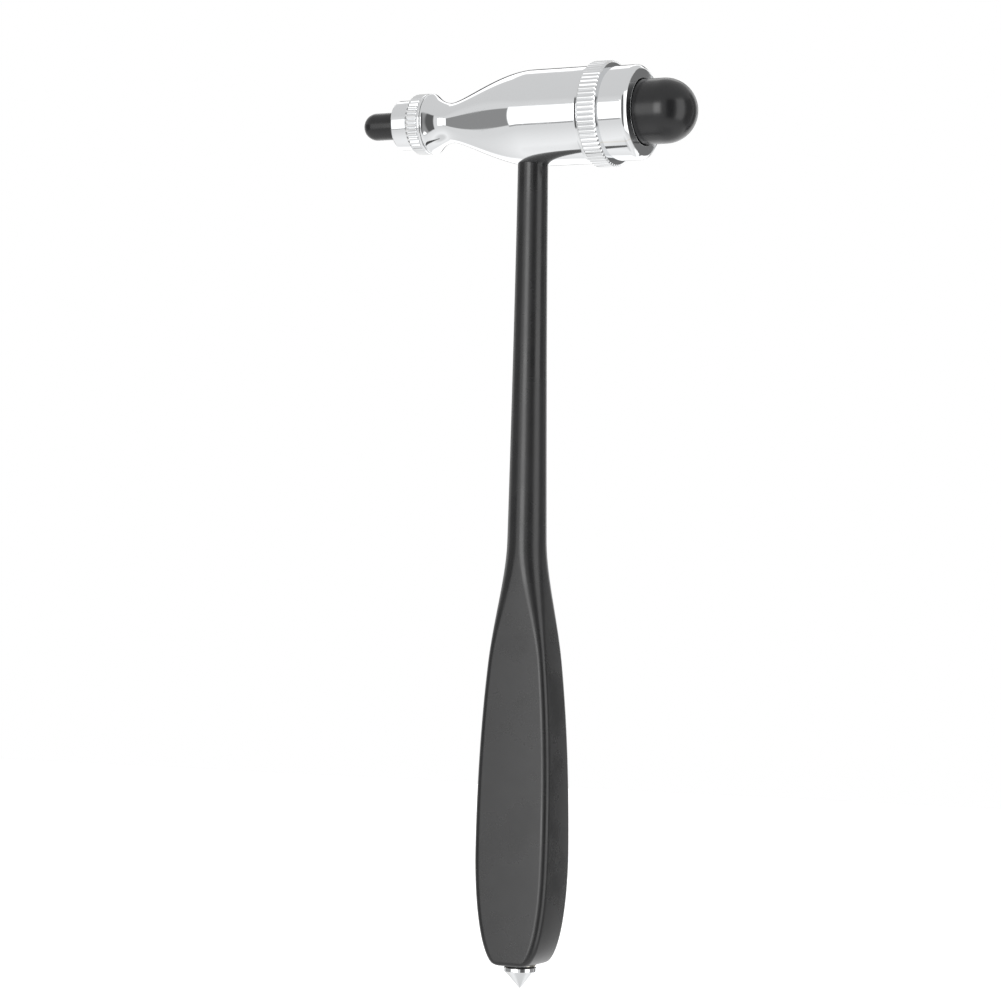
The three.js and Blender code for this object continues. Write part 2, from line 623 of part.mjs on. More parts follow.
function plantarTip() {
  const rimTop = TIP_CONE_HEIGHT + TIP_RIM_HEIGHT;
  const studTop = rimTop + TIP_STUD_LENGTH;
  return stand(turnedUpright([
    [0, 0],
    [TIP_POINT_RADIUS, TIP_POINT_RADIUS / 2],
    [TIP_RADIUS, TIP_CONE_HEIGHT],
    [TIP_RADIUS, rimTop],
    [TIP_STUD_RADIUS, rimTop],
    [TIP_STUD_RADIUS, studTop],
    [0, studTop],
  ], INNER_SIDES));
}

// ---------------------------------------------------------------- assembly

const hammer = new THREE.Group();
hammer.name = 'reflex_hammer';
hammer.position.z = -GRIP_CENTRE_HEIGHT;

function addPiece(name, geometry, finish) {
  const mesh = new THREE.Mesh(geometry, new THREE.MeshStandardMaterial(finishes[finish]));
  mesh.name = name;
  hammer.add(mesh);
}

addPiece('head_barrel', headBarrel(), 'chrome');
addPiece('handle_grip', handleGrip(), 'plastic');
addPiece('core_rod', coreRod(), 'steel');
addPiece('tip_insert', tipInsert(), 'brass');

addPiece('large_washer', largeWasher(), 'seal');
addPiece('large_backing_disc', largeBackingDisc(), 'steel');
addPiece('large_cap', largeCap(), 'chrome');
addPiece('large_mallet', largeMallet(), 'rubber');

addPiece('small_seam_ring', smallSeamRing(), 'chrome');
addPiece('small_seal', smallSeal(), 'seal');
addPiece('small_cap', smallCap(), 'chrome');
addPiece('small_mallet', smallMallet(), 'rubber');
addPiece('brush_ferrule', brushFerrule(), 'brass');
addPiece('brush_bristles', brushBristles(), 'nylon');

addPiece('tip_washer', tipWasher(), 'seal');
addPiece('plantar_tip', plantarTip(), 'chrome');

export default hammer;
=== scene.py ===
import math
import random

import bmesh
import bpy
from mathutils import Matrix, Vector


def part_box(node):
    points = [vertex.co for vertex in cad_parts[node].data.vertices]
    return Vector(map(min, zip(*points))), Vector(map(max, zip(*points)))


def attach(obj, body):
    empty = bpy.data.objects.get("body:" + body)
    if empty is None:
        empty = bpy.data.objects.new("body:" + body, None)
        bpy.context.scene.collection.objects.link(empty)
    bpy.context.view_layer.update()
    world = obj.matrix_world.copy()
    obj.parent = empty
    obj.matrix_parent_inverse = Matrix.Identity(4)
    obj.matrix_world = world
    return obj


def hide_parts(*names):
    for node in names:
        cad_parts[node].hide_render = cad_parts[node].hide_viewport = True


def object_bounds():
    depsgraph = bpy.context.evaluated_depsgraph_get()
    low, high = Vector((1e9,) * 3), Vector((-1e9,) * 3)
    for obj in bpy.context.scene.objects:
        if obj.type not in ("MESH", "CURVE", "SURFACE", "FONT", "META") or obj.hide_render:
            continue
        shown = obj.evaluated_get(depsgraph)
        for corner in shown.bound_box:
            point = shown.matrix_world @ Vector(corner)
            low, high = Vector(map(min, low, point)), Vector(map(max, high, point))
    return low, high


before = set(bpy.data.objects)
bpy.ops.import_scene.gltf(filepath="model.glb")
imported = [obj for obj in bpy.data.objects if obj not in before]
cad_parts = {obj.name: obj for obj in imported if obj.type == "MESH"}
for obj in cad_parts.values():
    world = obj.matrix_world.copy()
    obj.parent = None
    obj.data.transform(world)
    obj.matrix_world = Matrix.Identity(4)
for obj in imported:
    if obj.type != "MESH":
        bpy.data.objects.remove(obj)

CAD_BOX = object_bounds()

# ------------------------------------------------------------------ camera
# A long lens that looks at the hammer a little from its right, and rises very slightly.
# The hammer hangs upright in front of it, so nothing of it touches the floor.
MM = 0.001
VIEWPOINT = Vector((355.92, -722.45, 66.80)) * MM
AIM = Vector((-6.683, -2.430, 86.362)) * MM
CAMERA_ROLL = math.radians(0.94)

camera_data = bpy.data.cameras.new("studio_camera")
camera_data.lens = 111.3
camera_data.sensor_width = 36
camera_data.clip_start = 0.01
camera = bpy.data.objects.new("studio_camera", camera_data)
bpy.context.scene.collection.objects.link(camera)
looking = (AIM - VIEWPOINT).to_track_quat("-Z", "Y").to_matrix().to_4x4()
camera.matrix_world = Matrix.Translation(VIEWPOINT) @ looking @ Matrix.Rotation(CAMERA_ROLL, 4, "Z")
bpy.context.scene.camera = camera
bpy.context.scene.view_settings.view_transform = "Standard"


# ------------------------------------------------------------------ studio
# A white tent with a few large cards round it: two soft boxes in front, grey cards beside them,
# and a dark opening where the lens looks in. The floor is a pale sheet well below the hammer.
def studio_card():
    """One card of the tent, laid over the light already there. Its place is in degrees."""
    group = bpy.data.node_groups.new("StudioCard", "ShaderNodeTree")
    for label in ("Light", "Azimuth", "Elevation", "Level", "Middle", "Half Width", "Low", "High",
                  "Softness"):
        group.interface.new_socket(label, in_out="INPUT", socket_type="NodeSocketFloat")
    group.interface.new_socket("Light", in_out="OUTPUT", socket_type="NodeSocketFloat")
    given = group.nodes.new("NodeGroupInput")
    result = group.nodes.new("NodeGroupOutput")

    def sum_of(operation, a, b=None, c=None):
        node = group.nodes.new("ShaderNodeMath")
        node.operation = operation
        for socket, value in zip(node.inputs, (a, b, c)):
            if isinstance(value, (int, float)):
                socket.default_value = value
            elif value is not None:
                group.links.new(value, socket)
        return node.outputs[0]

    def fade(value, start, end):
        ramp = group.nodes.new("ShaderNodeMapRange")
        ramp.interpolation_type = "SMOOTHSTEP"
        group.links.new(value, ramp.inputs["Value"])
        group.links.new(start, ramp.inputs["From Min"])
        group.links.new(end, ramp.inputs["From Max"])
        return ramp.outputs["Result"]

    soft = given.outputs["Softness"]
    turned_by = sum_of("SUBTRACT", given.outputs["Azimuth"], given.outputs["Middle"])
    across = sum_of("ABSOLUTE", sum_of("WRAP", turned_by, 180.0, -180.0))
    side = fade(across, sum_of("ADD", given.outputs["Half Width"], soft), given.outputs["Half Width"])
    low, high = given.outputs["Low"], given.outputs["High"]
    bottom = fade(given.outputs["Elevation"], sum_of("SUBTRACT", low, soft), low)
    top = fade(given.outputs["Elevation"], sum_of("ADD", high, soft), high)
    mask = sum_of("MULTIPLY", side, sum_of("MULTIPLY", bottom, top))
    change = sum_of("SUBTRACT", given.outputs["Level"], given.outputs["Light"])
    light = sum_of("MULTIPLY_ADD", change, mask, given.outputs["Light"])
    group.links.new(light, result.inputs["Light"])
    return group


STUDIO_CARDS = [
    # level, middle, half width, low, high, softness
    (1.35, 180, 45, -40, 30, 6),  # white wall behind the hammer
    (1.40, -148, 26, 29, 47, 3),  # its upper part, behind on the left
    (0.02, -153, 18, -2, 26, 2),  # dark rail across the foot of that wall
    (0.19, 153, 9, -32, 32, 3),  # grey card behind it on the right
    (0.34, 90, 45, -30, 26, 8),  # dim right side of the tent
    (0.31, -70, 27, -17, 15, 2),  # grey card on the left
    (0.12, 41, 11, -30, 28, 6),  # dark opening round the lens
    (2.20, 80, 14, -30, 30, 5),  # narrow soft box on the right
    (1.50, -16, 24, -18, 17, 2.5),  # soft box in front on the left
    (4.60, -7, 10, -12, 17, 4),  # its bright middle
    (0.42, -30, 12, -21, -19, 1),  # dark lower frame of the front soft box
]

world = bpy.data.worlds.new("studio_tent")
world.use_nodes = True
bpy.context.scene.world = world
tent = world.node_tree
tent.nodes.clear()
direction = tent.nodes.new("ShaderNodeTexCoord")
split = tent.nodes.new("ShaderNodeSeparateXYZ")
tent.links.new(direction.outputs["Generated"], split.inputs[0])


def tent_sum(operation, a, b=None):
    node = tent.nodes.new("ShaderNodeMath")
    node.operation = operation
    for socket, value in zip(node.inputs, (a, b)):
        if isinstance(value, (int, float)):
            socket.default_value = value
        elif value is not None:
            tent.links.new(value, socket)
    return node.outputs[0]


elevation = tent_sum("DEGREES", tent_sum("ARCSINE", split.outputs["Z"]))
towards_front = tent_sum("MULTIPLY", split.outputs["Y"], -1.0)
azimuth = tent_sum("DEGREES", tent_sum("ARCTAN2", split.outputs["X"], towards_front))
shading = tent.nodes.new("ShaderNodeValToRGB")
tent.links.new(tent_sum("DIVIDE", tent_sum("ADD", elevation, 90.0), 180.0), shading.inputs[0])
ramp = shading.color_ramp
ramp.elements[0].position, ramp.elements[0].color = 0.0, (0.78, 0.78, 0.78, 1)
ramp.elements[1].position, ramp.elements[1].color = 1.0, (0.74, 0.74, 0.74, 1)
for position, level in ((0.08, 0.80), (0.16, 1.06), (0.34, 0.83), (0.64, 0.80), (0.68, 0.73)):
    stop = ramp.elements.new(position)
    stop.color = (level, level, level, 1)
light = shading.outputs["Color"]
card_group = studio_card()
for card in STUDIO_CARDS:
    node = tent.nodes.new("ShaderNodeGroup")
    node.node_tree = card_group
    tent.links.new(light, node.inputs["Light"])
    tent.links.new(azimuth, node.inputs["Azimuth"])
    tent.links.new(elevation, node.inputs["Elevation"])
    for label, value in zip(("Level", "Middle", "Half Width", "Low", "High", "Softness"), card):
        node.inputs[label].default_value = value
    light = node.outputs["Light"]
seen = tent.nodes.new("ShaderNodeBackground")
seen.inputs["Color"].default_value = (1, 1, 1, 1)
lit = tent.nodes.new("ShaderNodeBackground")
tent.links.new(light, lit.inputs["Color"])
ray = tent.nodes.new("ShaderNodeLightPath")
either = tent.nodes.new("ShaderNodeMixShader")
tent.links.new(ray.outputs["Is Camera Ray"], either.inputs[0])
tent.links.new(lit.outputs[0], either.inputs[1])
tent.links.new(seen.outputs[0], either.inputs[2])
tent_output = tent.nodes.new("ShaderNodeOutputWorld")
tent.links.new(either.outputs[0], tent_output.inputs["Surface"])

FLOOR_DROP = 0.25
FLOOR_HALF = 4.0
floor_mesh = bpy.data.meshes.new("studio_floor")
floor_z = CAD_BOX[0][2] - FLOOR_DROP
corners = [(-1, -1), (1, -1), (1, 1), (-1, 1)]
floor_mesh.from_pydata([(x * FLOOR_HALF, y * FLOOR_HALF, floor_z) for x, y in corners], [], [(0, 1, 2, 3)])
floor = bpy.data.objects.new("studio_floor", floor_mesh)
bpy.context.scene.collection.objects.link(floor)
floor_paper = bpy.data.materials.new("pale_paper")
floor_paper.use_nodes = True
paper = floor_paper.node_tree.nodes["Principled BSDF"]
paper.inputs["Base Color"].default_value = (0.9, 0.9, 0.9, 1)
paper.inputs["Roughness"].default_value = 0.9
paper.inputs["Emission Color"].default_value = (1, 1, 1, 1)
paper.inputs["Emission Strength"].default_value = 0.6
floor_mesh.materials.append(floor_paper)
floor.visible_glossy = False


# ------------------------------------------------------------------ head barrel
# The body of the head, turned from brass bar and chrome plated. It flares to a seat at its small
# end, has a threaded spigot at each end and a blind bore in the small end that stores the brush.
def skinned(name, rows, looped=False):
    """A closed mesh through rings of points; a ring of one point closes an end."""
    vertices, faces, starts = [], [], []
    for row in rows:
        starts.append(len(vertices))
        vertices.extend(row)
    pairs = [(i, i + 1) for i in range(len(rows) - 1)]
    if looped:
        pairs.append((len(rows) - 1, 0))
    for i, j in pairs:
        a, b = starts[i], starts[j]
        around = max(len(rows[i]), len(rows[j]))
        for k in range(around):
            n = (k + 1) % around
            if len(rows[i]) == 1:
                faces.append((a, b + n, b + k))
            elif len(rows[j]) == 1:
                faces.append((a + k, a + n, b))
            else:
                faces.append((a + k, a + n, b + n, b + k))
    mesh = bpy.data.meshes.new(name)
    mesh.from_pydata(vertices, [], faces)
    work = bmesh.new()
    work.from_mesh(mesh)
    bmesh.ops.recalc_face_normals(work, faces=work.faces)
    work.to_mesh(mesh)
    work.free()
    mesh.shade_smooth()
    mesh.set_sharp_from_angle(angle=math.radians(38))
    piece = bpy.data.objects.new(name, mesh)
    bpy.context.scene.collection.objects.link(piece)
    return piece


def eased(outline, steps=4):
    """Rounds each [radius, station, rounding] corner that has a rounding; all in millimetres."""
    points = []
    for i, corner in enumerate(outline):
        here = Vector(corner[:2])
        rounding = corner[2] if len(corner) > 2 else 0
        if not rounding:
            points.append(tuple(here))
            continue
        before = Vector(outline[i - 1][:2]) - here
        after = Vector(outline[(i + 1) % len(outline)][:2]) - here
        start = here + before.normalized() * rounding
        end = here + after.normalized() * rounding
        for k in range(steps + 1):
            t = k / steps
            points.append(tuple(start * (1 - t) ** 2 + here * 2 * t * (1 - t) + end * t ** 2))
    return points


def turned(name, outline, place, sides=192, relief=None, looped=False):
    """Spins [radius, station] pairs about an axis; relief gives how far each point stands proud."""
    rows = []
    for radius, station in outline:
        if radius < 1e-6:
            rows.append([place(0, 0, station)])
            continue
        row = []
        for k in range(sides):
            angle = 2 * math.pi * k / sides
            r = radius + (relief(radius, station, angle) if relief else 0)
            row.append(place(r * math.cos(angle), r * math.sin(angle), station))
        rows.append(row)
    return skinned(name, rows, looped)


def along_head(across, up, station):
    return (station * MM, across * MM, HEAD_HEIGHT + up * MM)


def curve_points(start, end, leave, arrive, steps):
    """A cubic curve between two [radius, station] ends that leaves and arrives along the axis."""
    (r0, s0), (r1, s1) = start, end
    s2, s3 = s0 + leave * (s1 - s0), s1 - arrive * (s1 - s0)
    points = []
    for k in range(steps + 1):
        t = k / steps
        b = ((1 - t) ** 3, 3 * t * (1 - t) ** 2, 3 * t * t * (1 - t), t ** 3)
        points.append((r0 * (b[0] + b[1]) + r1 * (b[2] + b[3]),
                       s0 * b[0] + s2 * b[1] + s3 * b[2] + s1 * b[3]))
    return points


def screw_thread(pitch, depth, first, last, outward=False):
    """Relief of a right-handed thread between two stations, which fades out at its ends."""
    def relief(radius, station, angle):
        if not first - 1e-6 <= station <= last + 1e-6:
            return 0
        wave = abs(((station / pitch - angle / (2 * math.pi)) % 1) * 2 - 1)
        flank = min(max((wave - 0.12) / 0.76, 0), 1)
        fade = min(1, (station - first) / (0.5 * pitch), (last - station) / (0.5 * pitch))
        return depth * (1 - flank) * max(fade, 0) * (1 if outward else -1)
    return relief


def thread_run(radius, first, last, pitch):
    """Closely spaced points for a thread to be cut in, from one station to another."""
    count = max(2, round(abs(last - first) / pitch * 12))
    return [(radius, first + (last - first) * k / count) for k in range(count + 1)]


washer_low, washer_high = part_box("large_washer")
HEAD_HEIGHT = (washer_low[2] + washer_high[2]) / 2
barrel_low, barrel_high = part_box("head_barrel")
BARREL_RADIUS = 12.55
BARREL_FRONT = barrel_high[0] / MM - 5.8
TAPER_STATION = 1.0
SHOULDER_CHAMFER = (1.0, 0.6)  # along the head, and across it
WAIST = (5.2, -23.7)
FLARE = (8.0, -29.4)
SEAM_STATION = -29.9
LARGE_SPIGOT_RADIUS = 10.0
SMALL_SPIGOT_RADIUS = 6.2
SMALL_SPIGOT_END = barrel_low[0] / MM
BRUSH_BORE_RADIUS = 3.4
BRUSH_BORE_FLOOR = -5.7
LARGE_PITCH = 1.0
SMALL_PITCH = 0.5

taper = curve_points(WAIST, (BARREL_RADIUS, TAPER_STATION), 0.15, 0.37, 48)
flare = curve_points(FLARE, WAIST, 0.08, 0.6, 28)
barrel_outline = [
    (0, BRUSH_BORE_FLOOR),
    (BRUSH_BORE_RADIUS - 0.6, BRUSH_BORE_FLOOR),
    (BRUSH_BORE_RADIUS, BRUSH_BORE_FLOOR - 0.6),
    (BRUSH_BORE_RADIUS, SMALL_SPIGOT_END + 0.25),
    (BRUSH_BORE_RADIUS + 0.25, SMALL_SPIGOT_END),
    (SMALL_SPIGOT_RADIUS - 0.3, SMALL_SPIGOT_END),
    *thread_run(SMALL_SPIGOT_RADIUS, SMALL_SPIGOT_END + 0.3, SEAM_STATION - 0.35, SMALL_PITCH),
    (SMALL_SPIGOT_RADIUS - 0.3, SEAM_STATION - 0.3),
    (SMALL_SPIGOT_RADIUS - 0.3, SEAM_STATION),
    *eased([(FLARE[0] - 0.9, SEAM_STATION), (FLARE[0], SEAM_STATION, 0.45), (FLARE[0], FLARE[1])])[1:-1],
    *flare,
    *taper[1:],
    (BARREL_RADIUS, 6.0),
    (BARREL_RADIUS, 12.0),
    *eased([
        (BARREL_RADIUS, 14.0),
        (BARREL_RADIUS, BARREL_FRONT - SHOULDER_CHAMFER[0], 0.2),
        (BARREL_RADIUS - SHOULDER_CHAMFER[1], BARREL_FRONT),
        (LARGE_SPIGOT_RADIUS, BARREL_FRONT),
    ]),
    (LARGE_SPIGOT_RADIUS - 0.5, BARREL_FRONT),
    (LARGE_SPIGOT_RADIUS - 0.5, BARREL_FRONT + 0.5),
    *thread_run(LARGE_SPIGOT_RADIUS, BARREL_FRONT + 0.6, barrel_high[0] / MM - 0.4, LARGE_PITCH),
    (LARGE_SPIGOT_RADIUS - 0.4, barrel_high[0] / MM),
    (0, barrel_high[0] / MM),
]
large_thread = screw_thread(LARGE_PITCH, 0.5, BARREL_FRONT + 0.6, barrel_high[0] / MM - 0.4)
small_thread = screw_thread(SMALL_PITCH, 0.25, SMALL_SPIGOT_END + 0.3, SEAM_STATION - 0.35)


def barrel_threads(radius, station, angle):
    if abs(radius - LARGE_SPIGOT_RADIUS) < 0.01:
        return large_thread(radius, station, angle)
    if abs(radius - SMALL_SPIGOT_RADIUS) < 0.01:
        return small_thread(radius, station, angle)
    return 0


barrel = turned("barrel", barrel_outline, along_head, 256, barrel_threads)


def effect(name, inputs, outputs):
    """An empty shader node group with named inputs and outputs, and short ways to fill it."""
    group = bpy.data.node_groups.new(name, "ShaderNodeTree")
    for label, default in inputs:
        socket = group.interface.new_socket(label, in_out="INPUT", socket_type="NodeSocketFloat")
        socket.default_value = default
    for label in outputs:
        group.interface.new_socket(label, in_out="OUTPUT", socket_type="NodeSocketFloat")
    return group, group.nodes.new("NodeGroupInput"), group.nodes.new("NodeGroupOutput")


def add_node(tree, kind, settings=None, **inputs):
    """Adds a node; an input is a value or an output to link. Underscores stand for spaces."""
    node = tree.nodes.new(kind)
    for key, value in (settings or {}).items():
        setattr(node, key, value)
    for key, value in inputs.items():
        name = key.replace("_", " ")
        socket = node.inputs[int(name[1:])] if name[0] == "i" and name[1:].isdigit() else node.inputs[name]
        if isinstance(value, bpy.types.NodeSocket):
            tree.links.new(value, socket)
        else:
            socket.default_value = value
    return node


def smudges_effect():
    """Where fingers have left a thin film: broad soft patches broken up by finer ones."""
    group, given, result = effect("HandlingFilm", [("Patch Size", 90), ("Break Up", 900)], ["Film"])
    place = group.nodes.new("ShaderNodeTexCoord").outputs["Object"]
    broad = add_node(group, "ShaderNodeTexNoise", Vector=place, Scale=given.outputs["Patch Size"], Detail=3.0)
    fine = add_node(group, "ShaderNodeTexNoise", Vector=place, Scale=given.outputs["Break Up"], Detail=4.0)
    patches = add_node(group, "ShaderNodeMapRange", {"interpolation_type": "SMOOTHSTEP"},
                       Value=broad.outputs["Fac"], From_Min=0.42, From_Max=0.68)
    film = add_node(group, "ShaderNodeMath", {"operation": "MULTIPLY"},
                    i0=patches.outputs[0], i1=fine.outputs["Fac"])
    group.links.new(film.outputs[0], result.inputs["Film"])
    return group


def scratches_effect():
    """Hairline marks that wander over a surface: thin bands of a stretched noise."""
    group, given, result = effect("HairlineMarks", [("Spacing", 160), ("Width", 0.006)], ["Marks"])
    place = group.nodes.new("ShaderNodeTexCoord").outputs["Object"]
    turn = add_node(group, "ShaderNodeMapping", Vector=place)
    turn.inputs["Rotation"].default_value = (0.5, 0.9, 0.4)
    turn.inputs["Scale"].default_value = (1.0, 0.16, 1.0)
    field = add_node(group, "ShaderNodeTexNoise", Vector=turn.outputs[0], Scale=given.outputs["Spacing"],
                     Detail=2.0, Distortion=0.6)
    away = add_node(group, "ShaderNodeMath", {"operation": "SUBTRACT"}, i0=field.outputs["Fac"], i1=0.5)
    near = add_node(group, "ShaderNodeMath", {"operation": "ABSOLUTE"}, i0=away.outputs[0])
    line = add_node(group, "ShaderNodeMapRange", Value=near.outputs[0],
                    From_Min=given.outputs["Width"], From_Max=0.0)
    thin_out = add_node(group, "ShaderNodeTexNoise", Vector=place, Scale=140.0, Detail=1.0)
    some = add_node(group, "ShaderNodeMapRange", Value=thin_out.outputs["Fac"], From_Min=0.5, From_Max=0.62)
    marks = add_node(group, "ShaderNodeMath", {"operation": "MULTIPLY"},
                     i0=line.outputs[0], i1=some.outputs[0])
    group.links.new(marks.outputs[0], result.inputs["Marks"])
    return group


def turning_effect():
    """The faint rings that a turning tool and a polishing mop leave round an axis."""
    group, given, result = effect("TurningRings", [("Along", 0), ("Fineness", 5200)], ["Rings"])
    rings = add_node(group, "ShaderNodeTexNoise", {"noise_dimensions": "1D"}, W=given.outputs["Along"],
                     Scale=given.outputs["Fineness"], Detail=3.0)
    group.links.new(rings.outputs["Fac"], result.inputs["Rings"])
    return group


def edge_effect():
    """Edges and crests, where handling wears a finish first, broken up so that wear isn't even."""
    group, given, result = effect("EdgeWear", [("Start", 0.52), ("Full", 0.6), ("Break Up", 700)], ["Worn"])
    form = group.nodes.new("ShaderNodeNewGeometry")
    crest = add_node(group, "ShaderNodeMapRange", Value=form.outputs["Pointiness"],
                     From_Min=given.outputs["Start"], From_Max=given.outputs["Full"])
    place = group.nodes.new("ShaderNodeTexCoord").outputs["Object"]
    patchy = add_node(group, "ShaderNodeTexNoise", Vector=place, Scale=given.outputs["Break Up"], Detail=3.0)
    worn = add_node(group, "ShaderNodeMath", {"operation": "MULTIPLY"},
                    i0=crest.outputs[0], i1=patchy.outputs["Fac"])
    group.links.new(worn.outputs[0], result.inputs["Worn"])
    return group


HANDLING_FILM = smudges_effect()
HAIRLINE_MARKS = scratches_effect()
TURNING_RINGS = turning_effect()
EDGE_WEAR = edge_effect()


def place_effect(tree, group, **inputs):
    node = tree.nodes.new("ShaderNodeGroup")
    node.node_tree = group
    for key, value in inputs.items():
        socket = node.inputs[key.replace("_", " ")]
        if isinstance(value, bpy.types.NodeSocket):
            tree.links.new(value, socket)
        else:
            socket.default_value = value
    return node.outputs


def blank_material(name):
    material = bpy.data.materials.new(name)
    material.use_nodes = True
    return material, material.node_tree, material.node_tree.nodes["Principled BSDF"]


def turned_metal(name, axis, colour, worn_colour, smooth, rough, ring_depth, mark_depth):
    """A turned and polished metal: rings round its axis, hairline marks, a film of handling."""
    material, tree, shader = blank_material(name)
    place = tree.nodes.new("ShaderNodeTexCoord").outputs["Object"]
    station = add_node(tree, "ShaderNodeSeparateXYZ", i0=place).outputs[axis]
    film = place_effect(tree, HANDLING_FILM)["Film"]
    marks = place_effect(tree, HAIRLINE_MARKS)["Marks"]
    rings = place_effect(tree, TURNING_RINGS, Along=station)["Rings"]
    worn = place_effect(tree, EDGE_WEAR)["Worn"]
    tone = add_node(tree, "ShaderNodeMix", {"data_type": "RGBA"}, Factor=worn)
    tone.inputs[6].default_value = (*colour, 1)
    tone.inputs[7].default_value = (*worn_colour, 1)
    tree.links.new(tone.outputs[2], shader.inputs["Base Color"])
    gloss = add_node(tree, "ShaderNodeMapRange", Value=film, From_Max=0.5, To_Min=smooth, To_Max=rough)
    dulled = add_node(tree, "ShaderNodeMath", {"operation": "MULTIPLY_ADD"},
                      i0=marks, i1=0.12, i2=gloss.outputs[0])
    tree.links.new(dulled.outputs[0], shader.inputs["Roughness"])
    shader.inputs["Metallic"].default_value = 1.0
    ringed = add_node(tree, "ShaderNodeBump", Height=rings, Distance=ring_depth)
    marked = add_node(tree, "ShaderNodeBump", Height=marks, Distance=mark_depth, Normal=ringed.outputs[0])
    marked.invert = True
    tree.links.new(marked.outputs[0], shader.inputs["Normal"])
    return material


HEAD_CHROME = turned_metal("head_chrome", "X", (0.80, 0.81, 0.82), (0.72, 0.69, 0.62),
                           0.035, 0.10, 0.00000012, 0.0000015)
barrel.data.materials.append(HEAD_CHROME)
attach(barrel, "hammer")
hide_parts("head_barrel")


# ------------------------------------------------------------------ large cap's washer
# A flat rubber ring in a recess of the large cap's rear face. It is squeezed against the barrel's
# shoulder, so that the cap doesn't work loose.
def washer_ring(name, inner, outer, rear, front, place, rounding):
    return turned(name, eased([
        (inner, front, rounding), (inner, rear, rounding), (outer, rear, rounding), (outer, front, rounding),
    ]), place, 160, looped=True)


def grain_effect():
    """The skin of a moulded piece: fine pits for its bump, and slow mottling for its colour."""
    group, given, result = effect("MouldedSkin", [("Grain", 3600), ("Mottle", 260)], ["Pits", "Mottling"])
    place = group.nodes.new("ShaderNodeTexCoord").outputs["Object"]
    cells = add_node(group, "ShaderNodeTexVoronoi", Vector=place, Scale=given.outputs["Grain"])
    haze = add_node(group, "ShaderNodeTexNoise", Vector=place, Scale=given.outputs["Grain"], Detail=4.0)
    pits = add_node(group, "ShaderNodeMath", {"operation": "MULTIPLY"},
                    i0=cells.outputs["Distance"], i1=haze.outputs["Fac"])
    slow = add_node(group, "ShaderNodeTexNoise", Vector=place, Scale=given.outputs["Mottle"], Detail=5.0)
    group.links.new(pits.outputs[0], result.inputs["Pits"])
    group.links.new(slow.outputs["Fac"], result.inputs["Mottling"])
    return group


MOULDED_SKIN = grain_effect()


def moulded(name, dark, pale, smooth, rough, grain, pit_depth, mottle=260.0):
    """A moulded plastic or rubber: pitted skin, mottled tone, handling film, paler worn edges."""
    material, tree, shader = blank_material(name)
    skin = place_effect(tree, MOULDED_SKIN, Grain=grain, Mottle=mottle)
    film = place_effect(tree, HANDLING_FILM, Patch_Size=70.0, Break_Up=1400.0)["Film"]
    marks = place_effect(tree, HAIRLINE_MARKS, Spacing=110.0, Width=0.004)["Marks"]
    worn = place_effect(tree, EDGE_WEAR, Start=0.51, Full=0.62)["Worn"]
    faded = add_node(tree, "ShaderNodeMath", {"operation": "MULTIPLY_ADD", "use_clamp": True},
                     i0=worn, i1=0.5, i2=skin["Mottling"])
    tone = add_node(tree, "ShaderNodeMix", {"data_type": "RGBA"}, Factor=faded.outputs[0])
    tone.inputs[6].default_value = (*dark, 1)
    tone.inputs[7].default_value = (*pale, 1)
    tree.links.new(tone.outputs[2], shader.inputs["Base Color"])
    gloss = add_node(tree, "ShaderNodeMapRange", Value=film, From_Max=0.5, To_Min=rough, To_Max=smooth)
    tree.links.new(gloss.outputs[0], shader.inputs["Roughness"])
    pitted = add_node(tree, "ShaderNodeBump", Height=skin["Pits"], Distance=pit_depth)
    marked = add_node(tree, "ShaderNodeBump", Height=marks, Distance=0.0000012, Normal=pitted.outputs[0])
    marked.invert = True
    tree.links.new(marked.outputs[0], shader.inputs["Normal"])
    return material


SEAL_RUBBER = moulded("seal_rubber", (0.012, 0.012, 0.013), (0.04, 0.04, 0.042), 0.5, 0.75, 4200.0, 0.00001)
WASHER_INNER = 10.12
WASHER_OUTER = 11.9
washer = washer_ring("cap_washer", WASHER_INNER, WASHER_OUTER, washer_low[0] / MM, washer_high[0] / MM,
                     along_head, 0.18)
washer.data.materials.append(SEAL_RUBBER)
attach(washer, "large_cap_washer")
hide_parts("large_washer")


# ------------------------------------------------------------------ backing disc
# A loose steel disc between the spigot's end and the mallet's flange, so that the mallet is
# pressed evenly. It is stamped from sheet, so its edges are slightly rounded.
disc_low, disc_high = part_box("large_backing_disc")
DISC_RADIUS = 9.98
disc_outline = [(0, disc_low[0] / MM), *eased([
    (0, disc_low[0] / MM), (DISC_RADIUS, disc_low[0] / MM, 0.15), (DISC_RADIUS, disc_high[0] / MM, 0.25),
    (0, disc_high[0] / MM),
])[1:]]
disc = turned("backing_disc", disc_outline, along_head, 160)
DISC_STEEL = turned_metal("disc_steel", "X", (0.42, 0.42, 0.43), (0.6, 0.6, 0.6),
                          0.26, 0.4, 0.0000006, 0.000002)
disc.data.materials.append(DISC_STEEL)
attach(disc, "large_cap_disc")
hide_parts("large_backing_disc")

